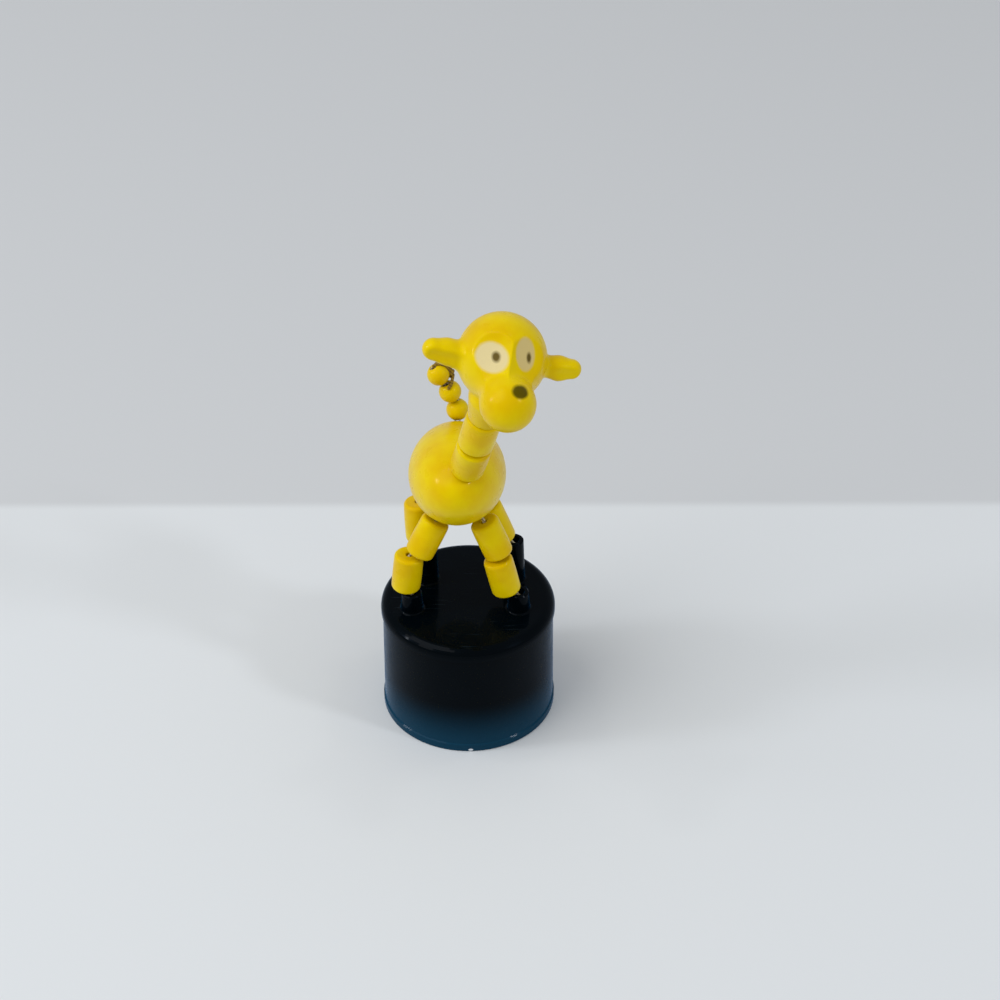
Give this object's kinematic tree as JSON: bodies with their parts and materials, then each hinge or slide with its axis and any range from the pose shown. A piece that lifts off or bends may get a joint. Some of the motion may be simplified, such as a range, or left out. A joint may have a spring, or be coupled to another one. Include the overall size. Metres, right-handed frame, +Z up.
{
  "type": "thumb push puppet",
  "caption": "Thumb push puppet: a four-legged animal strung from beads on a drum-shaped base that sags when the sprung button under the base is pressed.",
  "frame": {"origin": "middle of the base's foot rim, on the surface it stands on", "axes": "+Z up, the animal looks along -Y, +X to the right of someone facing it"},
  "size_m": [0.0283, 0.0326, 0.0729],
  "materials": {
    "base_black": "glossy",
    "button_black": "glossy",
    "body_yellow": "glossy",
    "head_yellow": "glossy",
    "spring_steel": "satin",
    "thread": "matte"
  },
  "bodies": {
    "base": {"base": "base_black", "spring": "spring_steel", "string_front_left_base": "thread", "string_front_right_base": "thread", "string_rear_left_base": "thread", "string_rear_right_base": "thread"},
    "button": {"button": "button_black", "knot_front_left": "thread", "knot_front_right": "thread", "knot_rear_left": "thread", "knot_rear_right": "thread"},
    "front_left_lower": {"front_left_lower_bead": "body_yellow", "string_front_left_lower": "thread"},
    "front_left_upper": {"front_left_upper_bead": "body_yellow", "string_front_left_upper": "thread"},
    "front_right_lower": {"front_right_lower_bead": "body_yellow", "string_front_right_lower": "thread"},
    "front_right_upper": {"front_right_upper_bead": "body_yellow", "string_front_right_upper": "thread"},
    "rear_left": {"rear_left_bead": "body_yellow", "string_rear_left": "thread"},
    "rear_right": {"rear_right_bead": "body_yellow", "string_rear_right": "thread"},
    "body": {"body": "body_yellow", "string_front_left_body": "thread", "string_front_right_body": "thread", "string_rear_left_body": "thread", "string_rear_right_body": "thread"},
    "neck_lower": {"neck_lower_bead": "body_yellow", "strings_neck_lower": "thread"},
    "neck_upper": {"neck_upper_bead": "body_yellow", "strings_neck_upper": "thread"},
    "head": {"head": "head_yellow", "strings_head": "thread"},
    "tail_1": {"tail_bead_1": "body_yellow", "strings_tail_1": "thread"},
    "tail_2": {"tail_bead_2": "body_yellow", "strings_tail_2": "thread"},
    "tail_3": {"tail_bead_3": "body_yellow", "strings_tail_3": "thread", "tail_knot": "thread"}
  },
  "joints": [
    {"name": "button_press", "type": "slide", "parent": "base", "child": "button", "axis": [0, 0, 1], "range_m": [0, 0.004], "stiffness_N_per_m": 400, "springref_m": -0.0005, "deforming": ["spring", "string_front_left_base", "string_front_right_base", "string_rear_left_base", "string_rear_right_base"]},
    {"name": "front_left_ankle", "type": "hinge", "parent": "base", "child": "front_left_lower", "pos_m": [-0.00935, -0.00275, 0.0222], "axis": [0, 1, 0], "range_deg": [-28.5, 0]},
    {"name": "front_left_knee", "type": "hinge", "parent": "front_left_lower", "child": "front_left_upper", "pos_m": [-0.00643, -0.002, 0.02825], "axis": [0, 1, 0], "range_deg": [0, 50.5]},
    {"name": "front_right_ankle", "type": "hinge", "parent": "base", "child": "front_right_lower", "pos_m": [0.00605, -0.00275, 0.0222], "axis": [0, 1, 0], "range_deg": [-30.5, 0]},
    {"name": "front_right_knee", "type": "hinge", "parent": "front_right_lower", "child": "front_right_upper", "pos_m": [0.0061, -0.0025, 0.02847], "axis": [0, 1, 0], "range_deg": [0, 12.5]},
    {"name": "rear_left_ankle", "type": "hinge", "parent": "base", "child": "rear_left", "pos_m": [-0.00725, 0.00395, 0.0264], "axis": [0, 1, 0], "range_deg": [-18.5, 0]},
    {"name": "rear_right_ankle", "type": "hinge", "parent": "base", "child": "rear_right", "pos_m": [0.00535, 0.00395, 0.0264], "axis": [0, 1, 0], "range_deg": [-28.5, 0]},
    {"name": "front_left_hip", "type": "hinge", "parent": "front_left_upper", "child": "body", "pos_m": [-0.00473, -0.00121, 0.03451], "axis": [0, 1, 0], "range_deg": [-18.5, 0]},
    {"name": "neck_root", "type": "hinge", "parent": "body", "child": "neck_lower", "pos_m": [-0.00005, -0.00771, 0.04591], "axis": [1, 0, 0], "range_deg": [0, 30.5]},
    {"name": "neck_bend", "type": "hinge", "parent": "neck_lower", "child": "neck_upper", "pos_m": [0.00122, -0.01015, 0.05194], "axis": [1, 0, 0], "range_deg": [0, 25.5]},
    {"name": "head_turn", "type": "hinge", "parent": "neck_upper", "child": "head", "pos_m": [0.00265, -0.00947, 0.05813], "axis": [0.2183, -0.2419, 0.9454], "range_deg": [-60, 60]},
    {"name": "tail_root", "type": "hinge", "parent": "body", "child": "tail_1", "pos_m": [-0.00135, 0.01044, 0.04495], "axis": [1, 0, 0], "range_deg": [-20.5, 0]},
    {"name": "tail_middle", "type": "hinge", "parent": "tail_1", "child": "tail_2", "pos_m": [-0.00135, 0.01044, 0.04495], "axis": [1, 0, 0], "range_deg": [-25.5, 0]},
    {"name": "tail_tip", "type": "hinge", "parent": "tail_2", "child": "tail_3", "pos_m": [-0.00236, 0.0105, 0.04805], "axis": [1, 0, 0], "range_deg": [-25.5, 0]}
  ],
  "couplings": [
    {"joint": "front_left_ankle", "follows": "button_press", "rad_per_m": -122.17},
    {"joint": "front_left_knee", "follows": "button_press", "rad_per_m": 218.17},
    {"joint": "front_right_ankle", "follows": "button_press", "rad_per_m": -130.9},
    {"joint": "front_right_knee", "follows": "button_press", "rad_per_m": 52.36},
    {"joint": "rear_left_ankle", "follows": "button_press", "rad_per_m": -78.54},
    {"joint": "rear_right_ankle", "follows": "button_press", "rad_per_m": -122.17},
    {"joint": "front_left_hip", "follows": "button_press", "rad_per_m": -78.54},
    {"joint": "neck_root", "follows": "button_press", "rad_per_m": 130.9},
    {"joint": "neck_bend", "follows": "button_press", "rad_per_m": 109.08},
    {"joint": "tail_root", "follows": "button_press", "rad_per_m": -87.266},
    {"joint": "tail_middle", "follows": "button_press", "rad_per_m": -109.08},
    {"joint": "tail_tip", "follows": "button_press", "rad_per_m": -109.08}
  ]
}
